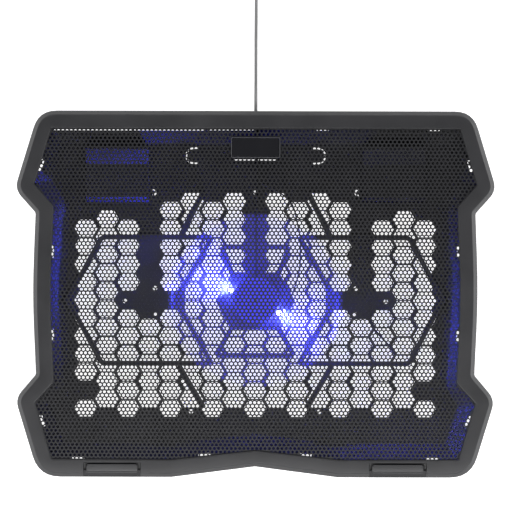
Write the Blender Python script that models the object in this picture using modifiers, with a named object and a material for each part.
"""Laptop cooling pad: perforated steel top in a notched plastic frame, a honeycomb tray, one lit 140 mm fan,
two fold-out rear legs, two flip-up front stoppers and a power lead with its plug.

Every size below is in millimetres and becomes metres where a mesh is made. +X is the pad's right, +Y its
rear, +Z up. The origin is on the table under the middle of the pad.
"""

import math

import bmesh
import bpy
from mathutils import Matrix, Vector

MM = 0.001
GAP = 0.3

# Heights above the table.
FOOT_TOP = 2.7
FLOOR_BOTTOM = 3.0
FLOOR_TOP = 5.2
WALL_KNEE = 13.0
PARTING = 19.0
TONGUE_TOP = 21.9
FRAME_UNDER = 22.4
SKIRT_TOP = 24.6
MESH_BOTTOM = 24.9
MESH_TOP = 25.7
PAD_TOP = 28.0

# Half outlines from the rear to the front as (x, y, corner radius, steps of its arc). The left half mirrors
# the right.
OUTER_HALF = (
    (173.8, 146.1, 19.4, 6),
    (192.9, 83.0, 14.0, 5),
    (176.1, 64.3, 3.0, 2),
    (178.5, 0.0, 800.0, 4),
    (175.5, -65.2, 3.0, 2),
    (192.0, -84.6, 14.0, 5),
    (172.9, -147.1, 23.0, 6),
    (66.6, -147.1, 5.0, 1),
)
OUTER_FRONT_MIDDLE = (0.0, -138.5, 5.0, 1)
INNER_HALF = (
    (163.9, 132.0, 1.5, 6),
    (177.5, 87.2, 1.5, 5),
    (162.0, 69.6, 3.0, 2),
    (164.9, -3.0, 600.0, 4),
    (161.3, -71.4, 3.0, 2),
    (176.3, -87.8, 1.5, 5),
    (163.0, -132.8, 1.5, 6),
    (67.0, -133.2, 5.0, 1),
)
INNER_FRONT_MIDDLE = (0.0, -125.7, 5.0, 1)

# Frame section.
CHAMFER = 2.9
CHAMFER_LIP = 0.5
SKIRT = 2.2
GROOVE_REACH = 1.6
MESH_REACH = 1.3

# Tray section.
WALL = 2.4
TONGUE = 1.8
FLOOR_INSET = 12.0

# Honeycomb floor: stretched hexagons in columns.
CELL_HALF_WIDTH = 9.2
CELL_HALF_FLAT = 5.3
CELL_HALF_HEIGHT = 6.7
COLUMN_PITCH = 17.0
ROW_PITCH = 14.46
EVEN_START = -92.5
ODD_START = -85.1
OUTER_COLUMN = 8
LAST_ROW = {0: 4, 1: 11, 2: 11, 3: 11, 4: 11, 5: 4, 6: 10, 7: 10, 8: 10}
LEFT_OUT = {4: (6,), 6: (6,), 8: (1,)}

# Ribs of the floor.
RIB_WIDTH = 3.9
DIAGONAL_WIDTH = 4.6
RIB_TOP = 8.4
RIB_ROOT = 4.0
BRACKET = (
    (35.0, 44.8, 0.5, 1),
    (123.4, 44.8, 5.0, 3),
    (142.4, 10.0, 0.5, 1),
    (151.0, -5.2, 0.5, 1),
    (142.4, -20.4, 0.5, 1),
    (123.4, -56.2, 5.0, 3),
    (35.0, -56.2, 0.5, 1),
    (58.4, -15.6, 0.5, 1),
    (58.4, 4.4, 0.5, 1),
)
HEXAGON_REAR_Y = 37.4
HEXAGON_FRONT_Y = -49.8
HEXAGON_REAR_X = 27.0
HEXAGON_FRONT_X = 31.0
DIAGONALS = (
    ((42.3, 80.8), (59.6, 46.6)),
    ((61.4, -58.2), (41.4, -92.0)),
)
STRAY_BAR = ((93.0, -26.0), (109.0, -43.4))

# Through holes of the floor, as (x, y), mirrored where x isn't 0.
LIGHT_HOLES = ((80.6, 4.0), (80.0, -16.6), (104.8, -6.4), (51.4, -95.0), (0.0, 80.9))
LIGHT_HOLE_RADIUS = 1.8
RING_SLOT = (82.4, 81.0)
RING_SLOT_RADIUS = 3.0

# Narrow slits along the rear wall, between its ends in x, and their width.
REAR_SLITS = ((-161.6, -99.6, 1.1), (-97.6, -40.6, 1.1), (-38.6, -2.0, 0.7))
REAR_SLIT_Y = 131.1

# Snap slots through the tray wall: x, y and the edge of the inner outline that each follows, with -1 the
# rear edge, which runs from the outline's last corner to its first.
SNAP_SLOTS = (
    (53.8, 131.8, -1),
    (142.8, 131.8, -1),
    (171.9, 102.4, 0),
    (162.9, 33.0, 2),
    (162.6, -33.8, 3),
    (170.6, -102.5, 5),
    (141.8, -132.2, 6),
    (40.6, -129.6, 7),
)
SNAP_LENGTH = 9.6
SNAP_WIDTH = 2.2

# Grip slots of the pill-shaped panel and the gap under the emblem.
PILL_HALF_LENGTH = 56.4
PILL_STRAIGHT = 3.4
PILL_REAR = 117.2
PILL_FRONT = 103.6
GRIP_SLOT = 1.3
EMBLEM_GAP_Y = 107.1
EMBLEM_GAP_HALF = 17.0

# Fan.
FAN = (0.0, -5.6)
HUB_PLATE = ((32.0, -6.0), (19.0, 17.0), (-19.0, 17.0), (-32.0, -6.0), (-19.6, -29.2), (19.6, -29.2))
HUB_PLATE_TOP = 6.2
HUB_PLATE_BOTTOM = 3.3
BLADES = 9
BLADE_TIP = 68.0
BLADE_ROOT = 17.6
BLADE_MIDDLE = 16.2
BLADE_THICKNESS = 1.4
HUB_RADIUS = 18.5
FAN_SCREW_CIRCLE = 11.0
LED_PLACES = ((-19.7, 8.0), (18.9, -9.8))

# Rear legs, folded forwards in pockets of the tray.
POCKET_LEFT = 86.0
POCKET_RIGHT = 136.0
POCKET_PROFILE = ((71.6, 4.0), (77.0, 12.4), (103.0, 12.8), (115.6, 19.6), (117.0, 19.6), (117.0, 4.0))
HOLLOW_PROFILE = ((76.2, 2.0), (76.2, 6.8), (77.2, 10.0), (103.6, 10.6), (114.6, 16.4), (114.6, 2.0))
LEG_AXIS_Y = 108.0
LEG_AXIS_Z = 6.1
LEG_HALF_THICKNESS = 2.7
LEG_LEFT = 89.6
LEG_RIGHT = 132.4
LEG_TIP_Y = 78.0
LEG_PIN_RADIUS = 1.0

# Front stoppers.
STOPPER_X = 114.4
STOPPER_HALF = 20.5
STOPPER_AXIS_Y = -141.8
STOPPER_AXIS_Z = 26.2
STOPPER_ROUND = 1.8
STOPPER_REAR = -136.9
NOTCH_HALF = 23.0
NOTCH_REAR = -135.6
NOTCH_FLOOR = 23.8
STOPPER_PIN_RADIUS = 0.6

# Power lead.
LEAD_RADIUS = 1.35
LEAD_EXIT_Z = 16.0
LEAD_ROUTE = (
    (0.0, 141.6, 16.0),
    (0.0, 150.0, 16.0),
    (0.0, 158.0, 14.6),
    (0.0, 167.0, 10.2),
    (0.0, 176.0, 5.4),
    (0.0, 185.0, 2.6),
    (0.0, 195.0, 1.7),
    (0.0, 207.0, 1.5),
    (0.1, 220.0, 1.5),
    (0.1, 235.0, 1.6),
    (0.0, 246.0, 1.9),
    (0.0, 254.3, 2.3),
)
COIL_CENTRE = (17.8, 266.0)
COIL_INNER = 10.9
COIL_OUTER = 19.4
COIL_BOTTOM = 0.9
COIL_TOP = 6.4
TIE_ANGLE = math.radians(-50.0)
PLUG_Y = 282.4
PLUG_Z = 3.9


# ---------------------------------------------------------------- outlines


def full_outline(half, front_middle):
    """Both halves and the middle of the front, clockwise seen from above, from the rear right corner."""
    left = [(-x, y, radius, steps) for x, y, radius, steps in reversed(half)]
    return [*half, front_middle, *left]


def inset(corners, distance):
    """The outline with each edge moved inwards, keeping its direction, and its corner radii to suit."""
    moved = []
    for i, (x, y, radius, steps) in enumerate(corners):
        before = Vector((x, y)) - Vector(corners[i - 1][:2])
        after = Vector(corners[(i + 1) % len(corners)][:2]) - Vector((x, y))
        before.normalize()
        after.normalize()
        first = Vector((before.y, -before.x))
        second = Vector((after.y, -after.x))
        place = Vector((x, y)) + (first + second) * distance / (1 + first.dot(second))
        convex = before.cross(after) < 0
        radius = radius - distance if convex else radius + distance
        moved.append((place.x, place.y, max(radius, 0.5), steps))
    return moved


def rounded(corners):
    """The outline's points, with each corner turned into an arc."""
    points = []
    for i, (x, y, radius, steps) in enumerate(corners):
        corner = Vector((x, y))
        back = Vector(corners[i - 1][:2]) - corner
        ahead = Vector(corners[(i + 1) % len(corners)][:2]) - corner
        turn = math.pi - back.angle(ahead)
        reach = min(radius * math.tan(turn / 2), 0.45 * back.length, 0.45 * ahead.length)
        start = corner + back.normalized() * reach
        end = corner + ahead.normalized() * reach
        for k in range(steps + 1):
            t = k / steps
            near = start.lerp(corner, t)
            far = corner.lerp(end, t)
            points.append(near.lerp(far, t))
    return points


def rectangle(low_x, high_x, low_y, high_y, radius, steps=3):
    return [
        (low_x, high_y, radius, steps),
        (high_x, high_y, radius, steps),
        (high_x, low_y, radius, steps),
        (low_x, low_y, radius, steps),
    ]


def strip(start, end, width=RIB_WIDTH):
    """The four corners of a straight bar between two points."""
    along = (Vector(end) - Vector(start)).normalized()
    side = Vector((-along.y, along.x)) * width / 2
    return [Vector(start) + side, Vector(end) + side, Vector(end) - side, Vector(start) - side]


def both_sides(outline):
    return [outline, [Vector((-p[0], p[1])) for p in reversed(outline)]]


def arc(centre, radius, first, last, steps):
    angles = [first + (last - first) * k / steps for k in range(steps + 1)]
    return [Vector((centre[0] + radius * math.cos(a), centre[1] + radius * math.sin(a))) for a in angles]


# ---------------------------------------------------------------- objects


def clear_scene():
    for obj in list(bpy.data.objects):
        bpy.data.objects.remove(obj, do_unlink=True)


def collection(name):
    made = bpy.data.collections.new(name)
    bpy.context.scene.collection.children.link(made)
    return made


def material(name, colour, roughness, metallic=0.0):
    made = bpy.data.materials.new(name)
    made.use_nodes = True
    shader = made.node_tree.nodes["Principled BSDF"]
    shader.inputs["Base Color"].default_value = (*colour, 1.0)
    shader.inputs["Roughness"].default_value = roughness
    shader.inputs["Metallic"].default_value = metallic
    made.diffuse_color = (*colour, 1.0)
    return made


def add(name, mesh, finish=None):
    """A sub-part with its finish or, with none, a hidden cutter."""
    obj = bpy.data.objects.new(name, mesh)
    if finish:
        mesh.materials.append(finish)
        parts.objects.link(obj)
        return obj
    cutters.objects.link(obj)
    obj.hide_render = True
    obj.display_type = "WIRE"
    return obj


def mesh_of(shape, name):
    bmesh.ops.recalc_face_normals(shape, faces=shape.faces)
    mesh = bpy.data.meshes.new(name)
    shape.to_mesh(mesh)
    shape.free()
    return mesh


def box(name, low, high, finish=None, at=None):
    """A block between two corners, turned and moved by the matrix at."""
    shape = bmesh.new()
    bmesh.ops.create_cube(shape, size=1.0)
    size = Vector(high) - Vector(low)
    centre = (Vector(high) + Vector(low)) / 2
    bmesh.ops.transform(shape, matrix=Matrix.LocRotScale(centre * MM, None, size * MM), verts=shape.verts)
    obj = add(name, mesh_of(shape, name), finish)
    if at:
        obj.data.transform(at)
    return obj


def rods(name, rows, radius, sides=20):
    """A cutter of separate round rods, each between two points."""
    shape = bmesh.new()
    for start, end in rows:
        axis = Vector(end) - Vector(start)
        turn = axis.to_track_quat("Z", "Y")
        place = Matrix.LocRotScale((Vector(start) + Vector(end)) / 2 * MM, turn, None)
        bmesh.ops.create_cone(
            shape,
            cap_ends=True,
            segments=sides,
            radius1=radius * MM,
            radius2=radius * MM,
            depth=axis.length * MM,
            matrix=place,
        )
    return add(name, mesh_of(shape, name))


def plate(name, outlines, low, high, finish=None):
    """Flat outlines filled and given a thickness; an outline inside another is a hole."""
    curve = bpy.data.curves.new(name, "CURVE")
    curve.dimensions = "2D"
    curve.fill_mode = "BOTH"
    curve.extrude = (high - low) / 2 * MM
    for outline in outlines:
        spline = curve.splines.new("POLY")
        spline.points.add(len(outline) - 1)
        for point, place in zip(spline.points, outline):
            point.co = (place[0] * MM, place[1] * MM, 0.0, 1.0)
        spline.use_cyclic_u = True
    drawn = bpy.data.objects.new(name, curve)
    drawn.location.z = (low + high) / 2 * MM
    bpy.context.scene.collection.objects.link(drawn)
    bpy.context.view_layer.update()
    graph = bpy.context.evaluated_depsgraph_get()
    mesh = bpy.data.meshes.new_from_object(drawn.evaluated_get(graph))
    place = drawn.matrix_world.copy()
    bpy.data.objects.remove(drawn)
    shape = bmesh.new()
    shape.from_mesh(mesh)
    bmesh.ops.remove_doubles(shape, verts=shape.verts, dist=0.001 * MM)
    bpy.data.meshes.remove(mesh)
    obj = add(name, mesh_of(shape, name), finish)
    obj.matrix_world = place
    return obj


def loft(name, rings, finish=None, closed=False):
    """A skin through rings of equally many points: closed into a tube, or with its end rings capped."""
    shape = bmesh.new()
    rows = [[shape.verts.new(Vector(point) * MM) for point in ring] for ring in rings]
    pairs = list(zip(rows, rows[1:]))
    if closed:
        pairs.append((rows[-1], rows[0]))
    for lower, upper in pairs:
        for k in range(len(lower)):
            after = (k + 1) % len(lower)
            shape.faces.new((lower[k], lower[after], upper[after], upper[k]))
    if not closed:
        shape.faces.new(rows[0])
        shape.faces.new(rows[-1])
    return add(name, mesh_of(shape, name), finish)


def level(corners, height):
    """The rounded outline as a ring at one height."""
    return [(p.x, p.y, height) for p in rounded(corners)]


def turned(name, profile, centre, finish, steps=32, ring=False):
    """A profile of (radius, height) that runs down its outer side, spun about the upright axis at centre."""
    shape = bmesh.new()
    points = [shape.verts.new((radius * MM, 0.0, height * MM)) for radius, height in profile]
    for first, second in zip(points, points[1:]):
        shape.edges.new((first, second))
    if ring:
        shape.edges.new((points[-1], points[0]))
    mesh = bpy.data.meshes.new(name)
    shape.to_mesh(mesh)
    shape.free()
    obj = add(name, mesh, finish)
    obj.location = (centre[0] * MM, centre[1] * MM, 0.0)
    spin = obj.modifiers.new("spin", "SCREW")
    spin.steps = steps
    spin.render_steps = steps
    spin.use_merge_vertices = True
    spin.merge_threshold = 0.00001
    return obj


def boolean(obj, other, operation):
    step = obj.modifiers.new(f"{operation.lower()} {other.name}", "BOOLEAN")
    step.operation = operation
    step.solver = "EXACT"
    step.object = other


def cut(obj, *others):
    for other in others:
        boolean(obj, other, "DIFFERENCE")


def join(obj, *others):
    for other in others:
        boolean(obj, other, "UNION")


def bevel(obj, width, segments=2, angle=40.0):
    step = obj.modifiers.new("rounded edges", "BEVEL")
    step.width = width * MM
    step.segments = segments
    step.limit_method = "ANGLE"
    step.angle_limit = math.radians(angle)


def wire(name, route, radius, finish):
    """A round lead through a smooth curve of the route's points."""
    dense = smooth_route(route)
    curve = bpy.data.curves.new(name, "CURVE")
    curve.dimensions = "3D"
    curve.bevel_depth = radius * MM
    curve.bevel_resolution = 2
    curve.use_fill_caps = True
    spline = curve.splines.new("POLY")
    spline.points.add(len(dense) - 1)
    for point, place in zip(spline.points, dense):
        point.co = (*(place * MM), 1.0)
    curve.materials.append(finish)
    obj = bpy.data.objects.new(name, curve)
    parts.objects.link(obj)
    return obj


def smooth_route(route, between=2):
    """Catmull-Rom points through the route, with some more between each pair."""
    knots = [Vector(p) for p in route]
    ends = [2 * knots[0] - knots[1], *knots, 2 * knots[-1] - knots[-2]]
    dense = []
    for a, b, c, d in zip(ends, ends[1:], ends[2:], ends[3:]):
        for k in range(between):
            t = k / between
            line = 2 * b + (c - a) * t + (2 * a - 5 * b + 4 * c - d) * t**2 + (3 * b - a - 3 * c + d) * t**3
            dense.append(line / 2)
    return [*dense, knots[-1]]


# ---------------------------------------------------------------- frame and mesh


def notch_pockets(frame):
    """The two notches that the front stoppers lie in, and the holes for their pins."""
    for side, name in ((-1, "left"), (1, "right")):
        x = side * STOPPER_X
        notch = box(
            f"stopper_notch_{name}",
            (x - NOTCH_HALF, -150.0, NOTCH_FLOOR),
            (x + NOTCH_HALF, NOTCH_REAR, PAD_TOP + 2),
        )
        reach = NOTCH_HALF + 1.8
        ends = [(x + dx, STOPPER_AXIS_Y, STOPPER_AXIS_Z) for dx in (-reach, reach)]
        hole = rods(f"stopper_pin_hole_{name}", (ends,), STOPPER_PIN_RADIUS + GAP, 12)
        cut(frame, notch, hole)


def make_frame():
    """Ring with a skirt, a sloped outer band, a flat band and a groove that holds the mesh."""
    rings = (
        level(outer, PARTING + GAP),
        level(outer, SKIRT_TOP),
        level(inset(outer, CHAMFER), PAD_TOP - 0.4),
        level(inset(outer, CHAMFER + CHAMFER_LIP), PAD_TOP),
        level(inner, PAD_TOP),
        level(inner, MESH_TOP + GAP),
        level(inset(inner, -GROOVE_REACH), MESH_TOP + GAP),
        level(inset(inner, -GROOVE_REACH), MESH_BOTTOM - GAP),
        level(inset(inner, -0.2), MESH_BOTTOM - GAP),
        level(inset(inner, -0.2), FRAME_UNDER),
        level(inset(outer, SKIRT), FRAME_UNDER),
        level(inset(outer, SKIRT), PARTING + GAP),
    )
    frame = loft("top_frame", rings, frame_plastic, closed=True)
    notch_pockets(frame)


def make_mesh_sheet():
    plate("mesh_grille", [rounded(inset(inner, -MESH_REACH))], MESH_BOTTOM, MESH_TOP, black_steel)


def make_emblem():
    """Blank glossy plate that lies on the mesh near the rear edge."""
    outline = rectangle(-19.7, 19.7, 108.6, 125.0, 1.2)
    emblem = plate("emblem_plate", [rounded(outline)], MESH_TOP + GAP, PAD_TOP - 0.2, gloss_black)
    bevel(emblem, 0.4, 1)


# ---------------------------------------------------------------- tray


def hexagon(x, y):
    places = (
        (-CELL_HALF_FLAT, CELL_HALF_HEIGHT),
        (CELL_HALF_FLAT, CELL_HALF_HEIGHT),
        (CELL_HALF_WIDTH, 0.0),
        (CELL_HALF_FLAT, -CELL_HALF_HEIGHT),
        (-CELL_HALF_FLAT, -CELL_HALF_HEIGHT),
        (-CELL_HALF_WIDTH, 0.0),
    )
    return [(x + dx, y + dy) for dx, dy in places]


def honeycomb_cells():
    cells = []
    for column in range(-OUTER_COLUMN, OUTER_COLUMN + 1):
        size = abs(column)
        start = ODD_START if column % 2 else EVEN_START
        for row in range(LAST_ROW[size] + 1):
            if row not in LEFT_OUT.get(size, ()):
                cells.append(hexagon(column * COLUMN_PITCH, start + row * ROW_PITCH))
    return cells


def snap_slots():
    """Slots along the inner edge of the frame, turned to follow it."""
    slots = []
    for x, y, edge in SNAP_SLOTS:
        start = Vector(inner[edge][:2])
        end = Vector(inner[(edge + 1) % len(inner)][:2])
        along = (end - start).normalized()
        middle = Vector((x, y))
        half = along * SNAP_LENGTH / 2
        slots += both_sides(strip(middle - half, middle + half, SNAP_WIDTH))
    return slots


def grip_slots():
    """The curved ends of the pill-shaped panel, and the straight gap in front of the emblem."""
    radius = (PILL_REAR - PILL_FRONT) / 2
    centre = (PILL_HALF_LENGTH - radius, (PILL_REAR + PILL_FRONT) / 2)
    end = centre[0] - PILL_STRAIGHT
    far = arc(centre, radius, math.radians(90.0), math.radians(-90.0), 8)
    near = arc(centre, radius - GRIP_SLOT, math.radians(-90.0), math.radians(90.0), 8)
    rear = centre[1] + radius
    front = centre[1] - radius
    far = [Vector((end, rear)), *far, Vector((end, front))]
    near = [Vector((end, front + GRIP_SLOT)), *near, Vector((end, rear - GRIP_SLOT))]
    gap = strip((-EMBLEM_GAP_HALF, EMBLEM_GAP_Y), (EMBLEM_GAP_HALF, EMBLEM_GAP_Y), 0.9)
    return [*both_sides([*far, *near]), gap]


def ring_slots():
    """Open rings round two screw places, left and right."""
    outer_arc = arc(RING_SLOT, RING_SLOT_RADIUS, math.radians(60.0), math.radians(280.0), 10)
    inner_arc = arc(RING_SLOT, RING_SLOT_RADIUS - 1.3, math.radians(280.0), math.radians(60.0), 10)
    return both_sides([*outer_arc, *inner_arc])


def rear_slits():
    return [strip((a, REAR_SLIT_Y), (b, REAR_SLIT_Y), width) for a, b, width in REAR_SLITS]


def floor_ribs():
    """Ribs in three groups whose bars don't touch each other."""
    rear = strip((-HEXAGON_REAR_X, HEXAGON_REAR_Y), (HEXAGON_REAR_X, HEXAGON_REAR_Y))
    front = strip((-HEXAGON_FRONT_X, HEXAGON_FRONT_Y), (HEXAGON_FRONT_X, HEXAGON_FRONT_Y))
    bars = [rear, front]
    for start, end in DIAGONALS:
        bars += both_sides(strip(start, end, DIAGONAL_WIDTH))
    bars.append(strip(*STRAY_BAR, 1.6))
    arms = [
        *both_sides(strip((18.5, 15.5), (HEXAGON_REAR_X, HEXAGON_REAR_Y))),
        *both_sides(strip((19.0, -28.0), (HEXAGON_FRONT_X, HEXAGON_FRONT_Y))),
    ]
    brackets = []
    for distance in (-RIB_WIDTH / 2, RIB_WIDTH / 2):
        brackets += both_sides(rounded(inset(BRACKET, distance)))
    return (
        plate("rib_bars", bars, RIB_ROOT, RIB_TOP),
        plate("rib_arms", arms, RIB_ROOT + 0.1, RIB_TOP - 0.1),
        plate("rib_brackets", brackets, RIB_ROOT - 0.1, RIB_TOP + 0.1),
    )


def leg_pocket(side, name):
    """The raised box over a folded leg, its hollow underneath, and the holes for the leg's pin."""

    def prism(title, left, right, profile):
        rings = [[(side * x, y, z) for y, z in profile] for x in (left, right)]
        return loft(f"{title}_{name}", rings)

    hump = prism("leg_hump", POCKET_LEFT, POCKET_RIGHT, POCKET_PROFILE)
    hollow = prism("leg_hollow", LEG_LEFT - 0.6, LEG_RIGHT + 0.6, HOLLOW_PROFILE)
    ends = [(side * x, LEG_AXIS_Y, LEG_AXIS_Z) for x in (POCKET_LEFT + 1.4, POCKET_RIGHT - 1.4)]
    hole = rods(f"leg_pin_hole_{name}", (ends,), LEG_PIN_RADIUS + GAP, 16)
    return hump, hollow, hole


def fan_screw_places():
    return arc(FAN, FAN_SCREW_CIRCLE, math.radians(90.0), math.radians(330.0), 2)


def make_tray():
    """Dish with sloped walls, a ribbed honeycomb floor and a tongue that fits inside the frame's skirt."""
    rings = (
        level(inset(inner, FLOOR_INSET), FLOOR_BOTTOM),
        level(inset(outer, 0.2), WALL_KNEE),
        level(inset(outer, 0.2), PARTING),
        level(inset(outer, 0.2 + WALL), PARTING),
        level(inset(outer, 0.2 + WALL), TONGUE_TOP),
        level(inset(outer, 0.2 + WALL + TONGUE), TONGUE_TOP),
        level(inset(outer, 0.2 + WALL + TONGUE), WALL_KNEE + 3.2),
        level(inset(inner, FLOOR_INSET + 0.6), FLOOR_TOP),
    )
    tray = loft("bottom_shell", rings, black_plastic)
    cut(
        tray,
        plate("honeycomb", honeycomb_cells(), FLOOR_BOTTOM - 1, FLOOR_TOP + 1),
        plate("snap_slot_cuts", snap_slots(), FLOOR_BOTTOM - 1, PARTING - 2),
        plate("grip_slot_cuts", [*grip_slots(), *ring_slots()], FLOOR_BOTTOM - 1, FLOOR_TOP + 1),
        plate("rear_slit_cuts", rear_slits(), FLOOR_BOTTOM - 1, PARTING - 2),
    )
    upright = [((x * s, y, 2.0), (x * s, y, 7.0)) for x, y in LIGHT_HOLES for s in ((1, -1) if x else (1,))]
    cut(tray, rods("light_holes", upright, LIGHT_HOLE_RADIUS, 12))
    exit_hole = ((0.0, 136.0, LEAD_EXIT_Z), (0.0, 148.0, LEAD_EXIT_Z))
    cut(tray, rods("lead_hole", (exit_hole,), 2.6, 20))
    bush_seat = ((0.0, 126.0, LEAD_EXIT_Z), (0.0, 141.6, LEAD_EXIT_Z))
    cut(tray, rods("lead_bush_seat", (bush_seat,), 4.0, 20))
    join(tray, *floor_ribs(), plate("hub_plate", [HUB_PLATE], HUB_PLATE_BOTTOM, HUB_PLATE_TOP))
    for side, name in ((-1, "left"), (1, "right")):
        hump, hollow, hole = leg_pocket(side, name)
        join(tray, hump)
        cut(tray, hollow, hole)
    screws = fan_screw_places()
    cut(
        tray,
        rods("fan_screw_holes", [((x, y, 2.0), (x, y, 8.0)) for x, y in screws], 1.5, 12),
        rods("fan_screw_head_holes", [((x, y, 2.0), (x, y, 4.6)) for x, y in screws], 3.0, 16),
    )


def make_feet():
    """Four rubber feet under the corners of the floor."""
    profile = ((0.0, FOOT_TOP), (8.0, FOOT_TOP), (8.0, 0.6), (7.4, 0.0), (0.0, 0.0))
    for x, y, name in (
        (-141.0, -109.5, "front_left"),
        (141.0, -109.5, "front_right"),
        (-150.0, 100.0, "rear_left"),
        (150.0, 100.0, "rear_right"),
    ):
        turned(f"foot_{name}", profile, (x, y), rubber, 28)


# ---------------------------------------------------------------- fan


def make_fan_base():
    profile = (
        (0.0, 7.9),
        (2.9, 7.9),
        (2.9, 17.4),
        (4.2, 17.4),
        (4.2, 8.9),
        (17.5, 8.9),
        (17.5, 6.5),
        (0.0, 6.5),
    )
    base = turned("fan_base", profile, FAN, black_plastic, 24)
    holes = [((x, y, 6.0), (x, y, 8.2)) for x, y in fan_screw_places()]
    cut(base, rods("fan_base_holes", holes, 1.5, 12))


def make_fan_inside():
    """Bearing sleeve, shaft, clip, circuit board, stator and rotor magnet."""
    sleeve = ((1.35, 17.3), (2.6, 17.3), (2.6, 9.4), (1.35, 9.4))
    turned("bearing_sleeve", sleeve, FAN, brass, 24, ring=True)
    turned("rotor_shaft", ((0.0, 19.5), (1.25, 19.5), (1.25, 8.2), (0.0, 8.2)), FAN, steel, 24)
    turned("shaft_clip", ((1.35, 9.1), (2.5, 9.1), (2.5, 8.5), (1.35, 8.5)), FAN, nylon, 24, ring=True)
    turned("fan_board", ((4.6, 10.0), (15.6, 10.0), (15.6, 9.2), (4.6, 9.2)), FAN, board_green, 32, ring=True)
    magnet = ((14.4, 17.2), (16.3, 17.2), (16.3, 10.4), (14.4, 10.4))
    turned("rotor_magnet", magnet, FAN, ferrite, 32, ring=True)
    make_stator()


def make_stator():
    """Iron core with four poles round the bearing tube."""
    outline = []
    for pole in range(4):
        middle = math.pi / 2 * pole
        for radius, spread in ((6.4, 20.0), (11.6, 11.0), (11.6, 34.0), (13.9, 34.0)):
            outline += arc(FAN, radius, middle - math.radians(spread), middle, 1)[:1]
        outline += arc(FAN, 13.9, middle - math.radians(20.0), middle + math.radians(20.0), 3)
        for radius, spread in ((13.9, 34.0), (11.6, 34.0), (11.6, 11.0), (6.4, 20.0)):
            outline += arc(FAN, radius, middle + math.radians(spread), middle, 1)[:1]
    bore = arc(FAN, 4.5, 0.0, math.tau * 23 / 24, 23)
    plate("stator", [outline, bore], 10.4, 15.8, steel)


def blade_surface(shape, turn):
    """One swept blade as an open grid from root to tip."""
    spans = 5
    chords = 3
    grid = []
    for i in range(spans + 1):
        s = i / spans
        radius = BLADE_ROOT + (BLADE_TIP - BLADE_ROOT) * s
        width = math.radians(39.0 + 1.0 * math.sin(math.pi * s))
        height = 7.4 - 1.6 * s
        row = []
        for j in range(chords + 1):
            t = j / chords - 0.5
            angle = turn + math.radians(-16.0) * s**2 + t * width
            lift = BLADE_MIDDLE + t * height + 0.7 * math.cos(math.pi * t)
            place = (FAN[0] + radius * math.cos(angle), FAN[1] + radius * math.sin(angle), lift)
            row.append(shape.verts.new(Vector(place) * MM))
        grid.append(row)
    for lower, upper in zip(grid, grid[1:]):
        for j in range(chords):
            shape.faces.new((lower[j], upper[j], upper[j + 1], lower[j + 1]))


def make_impeller():
    """Hub cup with a boss for the shaft, and its swept blades."""
    profile = (
        (0.0, 20.6),
        (17.0, 20.6),
        (HUB_RADIUS, 19.4),
        (HUB_RADIUS, 10.2),
        (16.7, 10.2),
        (16.7, 18.9),
        (3.4, 18.9),
        (3.4, 17.7),
        (1.35, 17.7),
        (1.35, 19.8),
        (0.0, 19.8),
    )
    impeller = turned("impeller", profile, FAN, clear_blue, 28)
    shape = bmesh.new()
    for k in range(BLADES):
        blade_surface(shape, math.tau * k / BLADES)
    mesh = bpy.data.meshes.new("blades")
    shape.to_mesh(mesh)
    shape.free()
    blades = add("blades", mesh)
    thick = blades.modifiers.new("thickness", "SOLIDIFY")
    thick.thickness = BLADE_THICKNESS * MM
    thick.offset = 0.0
    join(impeller, blades)


def make_lights():
    """Two light-emitting diodes that stand on the hub plate just outside the hub."""
    profile = (
        (0.0, 10.9),
        (0.8, 10.7),
        (1.3, 10.2),
        (1.5, 9.4),
        (1.5, 7.3),
        (1.9, 7.3),
        (1.9, 6.5),
        (0.0, 6.5),
    )
    for (dx, dy), name in zip(LED_PLACES, ("left", "right")):
        turned(f"led_{name}", profile, (FAN[0] + dx, FAN[1] + dy), clear_blue, 16)


def screw_recess(name, x, y, bottom):
    """The two bars of a cross recess, one a little deeper than the other."""
    across = strip((x - 1.5, y), (x + 1.5, y), 0.6)
    along = strip((x, y - 1.5), (x, y + 1.5), 0.6)
    return (
        plate(f"{name}_across", [across], bottom - 1, bottom + 0.5),
        plate(f"{name}_along", [along], bottom - 1, bottom + 0.45),
    )


def make_fan_screws():
    """Three screws that hold the fan base from under the hub plate."""
    profile = ((0.0, 7.9), (1.15, 7.9), (1.15, 4.3), (2.7, 4.3), (2.7, 3.7), (2.3, 3.35), (0.0, 3.35))
    for k, (x, y) in enumerate(fan_screw_places(), 1):
        screw = turned(f"fan_screw_{k}", profile, (x, y), steel, 16)
        cut(screw, *screw_recess(f"fan_screw_{k}", x, y, 3.35))


# ---------------------------------------------------------------- legs and stoppers


def pivot(name, place):
    """An empty on a joint's axis."""
    empty = bpy.data.objects.new(name, None)
    empty.location = Vector(place) * MM
    empty.empty_display_size = 0.01
    parts.objects.link(empty)
    return empty


def hang(empty, *children):
    """Parents the children to the empty and leaves them where they are."""
    bpy.context.view_layer.update()
    for child in children:
        child.parent = empty
        child.matrix_parent_inverse = empty.matrix_world.inverted()


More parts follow.
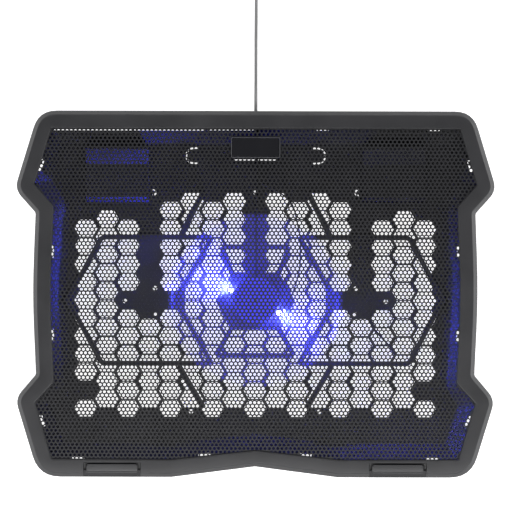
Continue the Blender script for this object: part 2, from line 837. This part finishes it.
def make_leg(side, name):
    """Fold-out leg with a round barrel at its hinge and a thin tongue at its tip for the rubber cap."""

    def section(x, inset_by):
        half = LEG_HALF_THICKNESS - inset_by
        turns = [math.radians(90.0 - 22.5 * k) for k in range(9)]
        barrel = [(LEG_AXIS_Y + half * math.cos(a), LEG_AXIS_Z + half * math.sin(a)) for a in turns]
        front = LEG_TIP_Y + 3.6 + inset_by
        tip = ((front, LEG_AXIS_Z - half), (front, LEG_AXIS_Z + half))
        return [(side * x, y, z) for y, z in (*barrel, *tip)]

    leg = loft(
        f"leg_{name}",
        (
            section(LEG_LEFT, 0.4),
            section(LEG_LEFT + 0.4, 0.0),
            section(LEG_RIGHT - 0.4, 0.0),
            section(LEG_RIGHT, 0.4),
        ),
        frame_plastic,
    )
    corners = ((LEG_LEFT + 6.0, LEG_TIP_Y + 1.4), (LEG_RIGHT - 6.0, LEG_TIP_Y + 5.0))
    xs = sorted(side * x for x, _ in corners)
    tongue = box(
        f"leg_tongue_{name}",
        (xs[0], corners[0][1], LEG_AXIS_Z - 1.0),
        (xs[1], corners[1][1], LEG_AXIS_Z + 1.0),
    )
    join(leg, tongue)
    ends = [(side * x, LEG_AXIS_Y, LEG_AXIS_Z) for x in (LEG_LEFT - 1, LEG_RIGHT + 1)]
    bore = rods(f"leg_bore_{name}", (ends,), LEG_PIN_RADIUS + GAP, 16)
    window = box(
        f"leg_window_{name}",
        (xs[0] + 1.5, LEG_TIP_Y + 9.0, LEG_AXIS_Z - 4.0),
        (xs[1] - 1.5, LEG_AXIS_Y - 8.0, LEG_AXIS_Z - 1.3),
    )
    cut(leg, bore, window)
    return leg


def make_leg_cap(side, name):
    """Rubber cap over the leg's tongue."""
    xs = sorted((side * (LEG_LEFT + 3.0), side * (LEG_RIGHT - 3.0)))
    cap = box(
        f"leg_cap_{name}",
        (xs[0], LEG_TIP_Y, LEG_AXIS_Z - 2.5),
        (xs[1], LEG_TIP_Y + 3.3, LEG_AXIS_Z + 2.5),
        rubber,
    )
    bevel(cap, 0.5, 2)
    slot = box(
        f"leg_cap_slot_{name}",
        (xs[0] + 2.6, LEG_TIP_Y + 1.0, LEG_AXIS_Z - 1.3),
        (xs[1] - 2.6, LEG_TIP_Y + 6.0, LEG_AXIS_Z + 1.3),
    )
    cut(cap, slot)
    return cap


def make_pin(name, start, end, radius):
    """A plain steel pin with its chamfers, along X."""
    length = end[0] - start[0]
    profile = (
        (0.0, length / 2),
        (radius * 0.75, length / 2),
        (radius, length / 2 - radius * 0.4),
        (radius, -length / 2 + radius * 0.4),
        (radius * 0.75, -length / 2),
        (0.0, -length / 2),
    )
    pin = turned(name, profile, (0.0, 0.0), steel, 16)
    pin.location = (Vector(start) + Vector(end)) / 2 * MM
    pin.rotation_euler = (0.0, math.pi / 2, 0.0)
    return pin


def make_legs():
    for side, name in ((-1, "left"), (1, "right")):
        leg = make_leg(side, name)
        cap = make_leg_cap(side, name)
        middle = side * (POCKET_LEFT + POCKET_RIGHT) / 2
        hang(pivot(f"leg_{name}_axis", (middle, LEG_AXIS_Y, LEG_AXIS_Z)), leg, cap)
        xs = sorted((side * (POCKET_LEFT + 1.7), side * (POCKET_RIGHT - 1.7)))
        make_pin(
            f"leg_pin_{name}",
            (xs[0], LEG_AXIS_Y, LEG_AXIS_Z),
            (xs[1], LEG_AXIS_Y, LEG_AXIS_Z),
            LEG_PIN_RADIUS,
        )


def make_stopper(side, name):
    """Low bar that flips up at the front edge, with sloped ends and a round hinge side."""
    centre = side * STOPPER_X

    def section(x, lower, shorter):
        half = STOPPER_ROUND - lower
        turns = [math.radians(90.0 + 22.5 * k) for k in range(9)]
        hinge = [(STOPPER_AXIS_Y + half * math.cos(a), STOPPER_AXIS_Z + half * math.sin(a)) for a in turns]
        rear = STOPPER_REAR - shorter
        under = STOPPER_AXIS_Z - 1.0
        back = ((STOPPER_AXIS_Y + 2.2, under), (rear, under), (rear, STOPPER_AXIS_Z + half))
        return [(centre + x, y, z) for y, z in (*hinge, *back)]

    stopper = loft(
        f"stopper_{name}",
        (
            section(-STOPPER_HALF, 0.5, 1.6),
            section(-STOPPER_HALF + 1.2, 0.0, 0.0),
            section(STOPPER_HALF - 1.2, 0.0, 0.0),
            section(STOPPER_HALF, 0.5, 1.6),
        ),
        gloss_black,
    )
    ends = [(centre + dx, STOPPER_AXIS_Y, STOPPER_AXIS_Z) for dx in (-24.0, 24.0)]
    cut(stopper, rods(f"stopper_bore_{name}", (ends,), STOPPER_PIN_RADIUS + GAP, 12))
    return stopper


def make_stoppers():
    for side, name in ((-1, "left"), (1, "right")):
        stopper = make_stopper(side, name)
        place = (side * STOPPER_X, STOPPER_AXIS_Y, STOPPER_AXIS_Z)
        hang(pivot(f"stopper_{name}_axis", place), stopper)
        reach = NOTCH_HALF + 1.5
        make_pin(
            f"stopper_pin_{name}",
            (place[0] - reach, *place[1:]),
            (place[0] + reach, *place[1:]),
            STOPPER_PIN_RADIUS,
        )


# ---------------------------------------------------------------- leads


def make_grommet():
    """Rubber bush in the rear wall, with a flange inside, round the power lead."""
    profile = (
        (2.3, 145.8),
        (2.3, 141.3),
        (3.6, 141.3),
        (3.6, 139.1),
        (2.0, 137.7),
        (LEAD_RADIUS + GAP, 137.7),
        (LEAD_RADIUS + GAP, 145.8),
    )
    middle = 141.5
    bush = turned("lead_grommet", [(r, y - middle) for r, y in profile], (0.0, 0.0), rubber, 20, ring=True)
    bush.location = (0.0, middle * MM, LEAD_EXIT_Z * MM)
    bush.rotation_euler = (-math.pi / 2, 0.0, 0.0)


def make_leads():
    wire("usb_lead", LEAD_ROUTE, LEAD_RADIUS, grey_jacket)
    inner_route = (
        (0.0, 141.2, LEAD_EXIT_Z),
        (0.0, 134.0, 15.8),
        (0.4, 126.0, 12.0),
        (1.0, 116.0, 7.4),
        (1.0, 100.0, 6.5),
        (1.0, 88.0, 6.5),
        (0.6, 70.0, 6.5),
        (0.6, 50.0, 6.5),
        (0.6, 42.0, 8.2),
        (0.6, 37.4, 9.8),
        (0.6, 32.0, 8.6),
        (0.6, 24.0, 7.4),
        (0.6, 16.0, 7.6),
        (0.6, 12.6, 7.7),
    )
    wire("fan_lead", inner_route, 0.9, black_jacket)
    light_route = (
        (21.8, -12.6, 7.6),
        (30.0, 0.0, 7.6),
        (35.5, 20.0, 7.8),
        (36.0, 33.0, 9.2),
        (36.2, 41.5, 10.6),
        (35.2, 49.5, 8.8),
        (33.7, 55.5, 6.8),
        (32.2, 63.0, 6.4),
        (29.3, 71.6, 6.4),
        (22.0, 79.0, 6.4),
        (12.0, 84.5, 6.6),
        (4.2, 88.5, 6.6),
    )
    wire("light_lead", light_route, 0.6, black_jacket)


def make_coil():
    """The outer shape of the coiled length, and the tie round it."""
    section = (
        (COIL_INNER, COIL_TOP),
        (COIL_OUTER, COIL_TOP),
        (COIL_OUTER, COIL_BOTTOM),
        (COIL_INNER, COIL_BOTTOM),
    )
    turned("lead_coil", section, COIL_CENTRE, grey_jacket, 32, ring=True)
    place = Matrix.Translation(Vector((*COIL_CENTRE, 0.0)) * MM) @ Matrix.Rotation(TIE_ANGLE, 4, "Z")
    low = (COIL_INNER - 1.2, -2.0, 0.05)
    high = (COIL_OUTER + 1.0, 2.0, COIL_TOP + 1.0)
    tie = box("lead_tie", low, high, rubber, place)
    low = (COIL_INNER - 0.5, -4.0, 0.6)
    high = (COIL_OUTER + 0.4, 4.0, COIL_TOP + 0.35)
    loop = box("tie_loop", low, high, None, place)
    cut(tie, loop)


def make_plug():
    """Moulded plug body with its tapered relief, and the metal shell that it holds."""
    relief_start = COIL_CENTRE[0] + 14.0
    body_start = relief_start + 9.0
    body_end = body_start + 22.0
    body = box(
        "plug_body",
        (body_start, PLUG_Y - 8.0, PLUG_Z - 3.8),
        (body_end, PLUG_Y + 8.0, PLUG_Z + 3.8),
        black_jacket,
    )
    bevel(body, 1.5, 3)
    shape = bmesh.new()
    length = body_start + 3.0 - relief_start
    middle = Vector((relief_start + length / 2, PLUG_Y, PLUG_Z))
    bmesh.ops.create_cone(
        shape,
        cap_ends=True,
        segments=20,
        radius1=1.9 * MM,
        radius2=3.0 * MM,
        depth=length * MM,
        matrix=Matrix.LocRotScale(middle * MM, Matrix.Rotation(math.pi / 2, 3, "Y").to_quaternion(), None),
    )
    join(body, add("plug_relief", mesh_of(shape, "plug_relief")))
    shell_start = body_end + GAP
    shell = box(
        "plug_shell",
        (shell_start, PLUG_Y - 6.0, PLUG_Z - 2.25),
        (shell_start + 12.0, PLUG_Y + 6.0, PLUG_Z + 2.25),
        steel,
    )
    hollow = box(
        "plug_shell_hollow",
        (shell_start + 3.0, PLUG_Y - 5.6, PLUG_Z - 0.2),
        (shell_start + 14.0, PLUG_Y + 5.6, PLUG_Z + 1.85),
    )
    cut(shell, hollow)


# ---------------------------------------------------------------- the pad

clear_scene()
parts = collection("laptop_cooling_pad")
cutters = collection("cutters")
outer = full_outline(OUTER_HALF, OUTER_FRONT_MIDDLE)
inner = full_outline(INNER_HALF, INNER_FRONT_MIDDLE)

frame_plastic = material("frame_plastic", (0.075, 0.075, 0.082), 0.45)
black_plastic = material("black_plastic", (0.02, 0.02, 0.022), 0.5)
gloss_black = material("gloss_black", (0.012, 0.012, 0.014), 0.2)
black_steel = material("black_steel", (0.02, 0.02, 0.022), 0.4, 0.6)
rubber = material("rubber", (0.03, 0.03, 0.03), 0.85)
steel = material("steel", (0.55, 0.55, 0.57), 0.3, 1.0)
brass = material("brass", (0.7, 0.5, 0.2), 0.35, 1.0)
nylon = material("nylon", (0.8, 0.8, 0.76), 0.5)
ferrite = material("ferrite", (0.06, 0.055, 0.05), 0.6)
board_green = material("board_green", (0.02, 0.15, 0.06), 0.4)
clear_blue = material("clear_blue", (0.1, 0.15, 0.9), 0.15)
grey_jacket = material("grey_jacket", (0.35, 0.35, 0.36), 0.5)
black_jacket = material("black_jacket", (0.02, 0.02, 0.02), 0.5)

make_frame()
make_mesh_sheet()
make_emblem()
make_tray()
make_feet()
make_fan_base()
make_fan_inside()
make_impeller()
make_lights()
make_fan_screws()
make_legs()
make_stoppers()
make_grommet()
make_leads()
make_coil()
make_plug()
